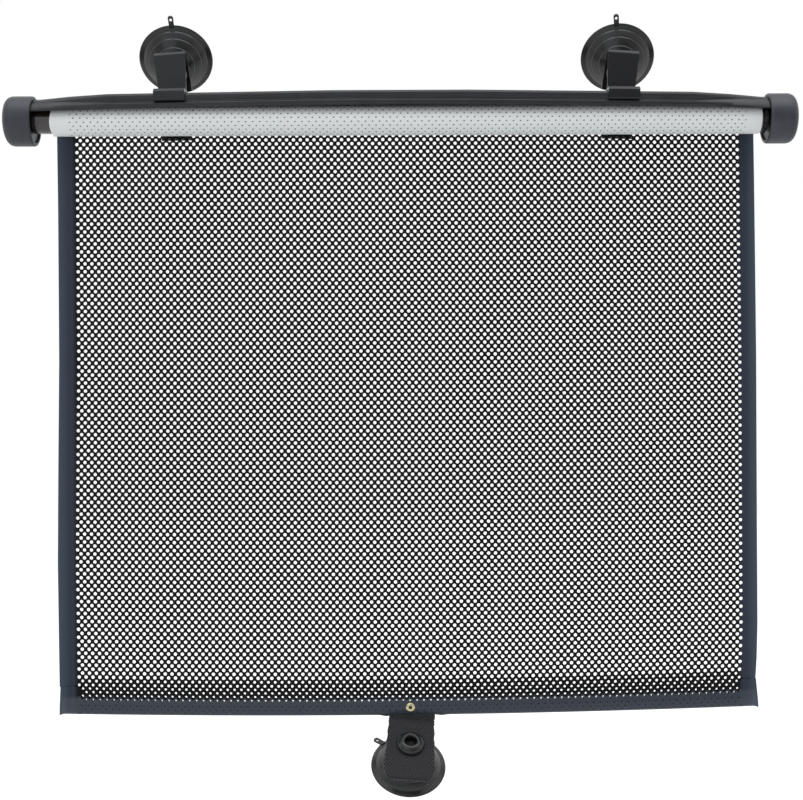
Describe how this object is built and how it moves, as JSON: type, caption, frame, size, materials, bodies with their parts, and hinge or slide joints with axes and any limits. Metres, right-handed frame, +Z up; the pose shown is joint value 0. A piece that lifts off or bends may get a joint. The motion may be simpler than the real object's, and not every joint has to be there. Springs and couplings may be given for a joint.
{
  "type": "car side window sunshade",
  "caption": "Retractable roller sunshade for a car side window: perforated film on a sprung roller, bowed rail, stiffened hem with pull tab, and suction cups on clips.",
  "frame": {"origin": "on the glass side, midway between the middles of the two upper suction cups' rims", "axes": "+X along the roller towards the release button, +Y towards the glass, +Z up as the shade hangs"},
  "size_m": [0.496, 0.0697, 0.4905],
  "materials": {
    "rail_plastic": "black, satin moulded",
    "cap_plastic": "black, matt moulded",
    "bracket_plastic": "black, smooth satin moulded",
    "natural_plastic": "uncoloured, moulded",
    "steel": "plain drawn",
    "painted_tube": "dark, glossy lacquer",
    "brass": "polished",
    "film_silver": "silver-white side of the film, satin",
    "film_black": "black side of the film, satin",
    "strap": "black woven strap",
    "cup_rubber": "black, glossy soft vinyl"
  },
  "bodies": {
    "case": {"rail": "rail_plastic", "left_end_cap": "cap_plastic", "right_end_cap": "cap_plastic", "left_insert": "rail_plastic", "right_insert": "rail_plastic", "left_pivot_pin": "steel", "spring_arbor": "steel", "winding_spring": "steel", "film_sheet": "film_black"},
    "roller": {"roller_tube": "painted_tube", "film_roll": "film_silver", "left_tube_plug": "rail_plastic", "ratchet_plug": "rail_plastic", "spring_anchor": "natural_plastic"},
    "release": {"release_button": "cap_plastic", "lock_cross_pin": "steel", "lock_collar": "natural_plastic", "button_spring": "steel"},
    "hem": {"film_hem": "film_black", "hem_bar": "steel", "tab_rivet": "brass", "rivet_washer": "steel", "pull_tab": "strap"},
    "lower_cup": {"lower_suction_cup": "cup_rubber"},
    "left_clip": {"left_bracket": "bracket_plastic"},
    "left_cup": {"left_suction_cup": "cup_rubber"},
    "right_clip": {"right_bracket": "bracket_plastic"},
    "right_cup": {"right_suction_cup": "cup_rubber"}
  },
  "joints": [
    {"name": "shade_draw", "type": "slide", "parent": "case", "child": "hem", "axis": [0, 0, 1], "range_m": [0, 0.34], "deforming": ["film_sheet"]},
    {"name": "roller_turn", "type": "hinge", "parent": "case", "child": "roller", "pos_m": [0, -0.02791, -0.04571], "axis": [1, 0, 0], "range_deg": [0, 2010]},
    {"name": "release_press", "type": "slide", "parent": "case", "child": "release", "axis": [-1, 0, 0], "range_m": [0, 0.0025], "stiffness_N_per_m": 400},
    {"name": "left_clip_slide", "type": "slide", "parent": "case", "child": "left_clip", "axis": [0.9998, 0, 0.0176], "range_m": [-0.03, 0.03]},
    {"name": "right_clip_slide", "type": "slide", "parent": "case", "child": "right_clip", "axis": [0.9999, 0, -0.017], "range_m": [-0.03, 0.03]},
    {"name": "left_cup_turn", "type": "hinge", "parent": "left_clip", "child": "left_cup", "pos_m": [-0.14431, -0.0155, -0.01273], "axis": [-0.0486, 0.7749, 0.6302], "continuous": true},
    {"name": "right_cup_turn", "type": "hinge", "parent": "right_clip", "child": "right_cup", "pos_m": [0.13979, -0.0155, -0.01265], "axis": [0.0482, 0.7749, 0.6302], "continuous": true},
    {"name": "lower_cup_turn", "type": "hinge", "parent": "hem", "child": "lower_cup", "pos_m": [0.00456, -0.03448, -0.43716], "axis": [-0.0618, 0.6157, -0.7856], "continuous": true}
  ],
  "couplings": [
    {"joint": "roller_turn", "follows": "shade_draw", "rad_per_m": 103.09}
  ]
}
